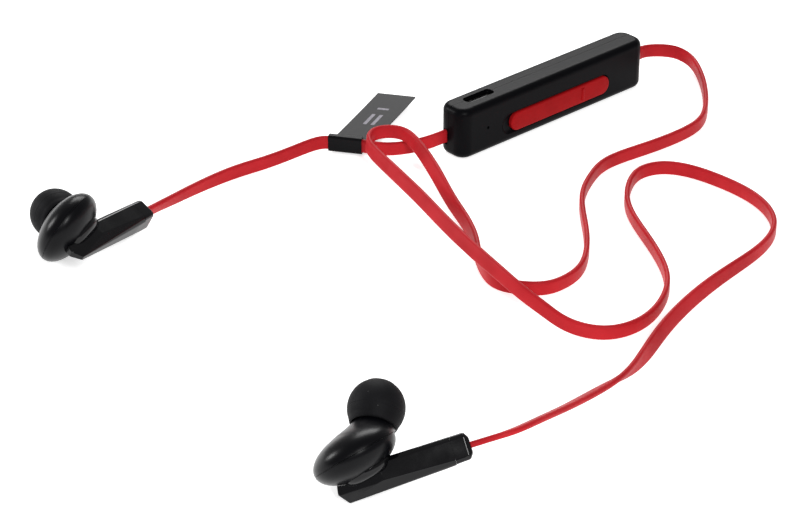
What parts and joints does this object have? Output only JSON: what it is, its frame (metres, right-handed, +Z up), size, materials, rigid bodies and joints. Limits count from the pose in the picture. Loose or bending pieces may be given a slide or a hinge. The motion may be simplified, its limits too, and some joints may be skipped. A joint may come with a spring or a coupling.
{
  "type": "in-ear earphones",
  "caption": "In-ear earphones: black bulb earpieces with silicone tips, flat red cords laid in loops, and a slim inline control box with a rocking key.",
  "frame": {"origin": "middle of the control box's underside, on the table", "axes": "+X along the control box towards the long cord's exit, -Y out of the key, +Z up from the table"},
  "size_m": [0.1801, 0.1344, 0.0167],
  "materials": {
    "satin_black_abs": "fine satin texture",
    "gloss_black_abs": "polished",
    "black_silicone": "matte, slightly dusty",
    "red_key_plastic": "soft-touch",
    "red_cord_tpe": "satin",
    "grey_key_rubber": "matte",
    "black_label_film": "laminated film",
    "nickel_steel": "nickel plated",
    "green_solder_mask": "solder mask",
    "battery_foil": "pouch foil",
    "dark_inner_plastic": "moulded",
    "diaphragm_film": "thin film"
  },
  "bodies": {
    "earphones": {"control_front_shell": "satin_black_abs", "control_rear_shell": "satin_black_abs", "usb_socket": "nickel_steel", "usb_tongue": "dark_inner_plastic", "control_board": "green_solder_mask", "battery": "battery_foil", "radio_chip": "dark_inner_plastic", "status_light": "diaphragm_film", "microphone": "nickel_steel", "left_cord_anchor": "dark_inner_plastic", "right_cord_anchor": "dark_inner_plastic", "volume_down_switch": "nickel_steel", "centre_switch": "nickel_steel", "volume_up_switch": "nickel_steel", "left_cord": "red_cord_tpe", "right_cord": "red_cord_tpe", "cord_label": "black_label_film", "left_front_housing": "satin_black_abs", "left_back_housing": "satin_black_abs", "left_driver_frame": "dark_inner_plastic", "left_driver_diaphragm": "diaphragm_film", "left_driver_magnet": "nickel_steel", "left_nozzle_screen": "nickel_steel", "left_stem": "gloss_black_abs", "left_stem_end_cap": "gloss_black_abs", "left_stem_anchor": "dark_inner_plastic", "right_front_housing": "satin_black_abs", "right_back_housing": "satin_black_abs", "right_driver_frame": "dark_inner_plastic", "right_driver_diaphragm": "diaphragm_film", "right_driver_magnet": "nickel_steel", "right_nozzle_screen": "nickel_steel", "right_stem": "gloss_black_abs", "right_stem_end_cap": "gloss_black_abs", "right_stem_anchor": "dark_inner_plastic"},
    "key_spring": {"key_membrane": "grey_key_rubber"},
    "key": {"rocker_button": "red_key_plastic"},
    "left_tip": {"left_ear_tip": "black_silicone"},
    "right_tip": {"right_ear_tip": "black_silicone"}
  },
  "joints": [
    {"name": "key_press", "type": "slide", "parent": "earphones", "child": "key_spring", "axis": [0, 1, 0], "range_m": [0, 0.0004], "stiffness_N_per_m": 1000},
    {"name": "key_rock", "type": "hinge", "parent": "key_spring", "child": "key", "pos_m": [0.00135, -0.0033, 0.0047], "axis": [0, 0, 1], "range_deg": [-1.5, 1.5], "stiffness_Nm_per_rad": 0.2},
    {"name": "left_tip_pull", "type": "slide", "parent": "earphones", "child": "left_tip", "axis": [0.182, 0.9817, -0.0561], "range_m": [0, 0.009]},
    {"name": "right_tip_pull", "type": "slide", "parent": "earphones", "child": "right_tip", "axis": [0.6867, 0.5355, 0.4916], "range_m": [0, 0.009]}
  ]
}
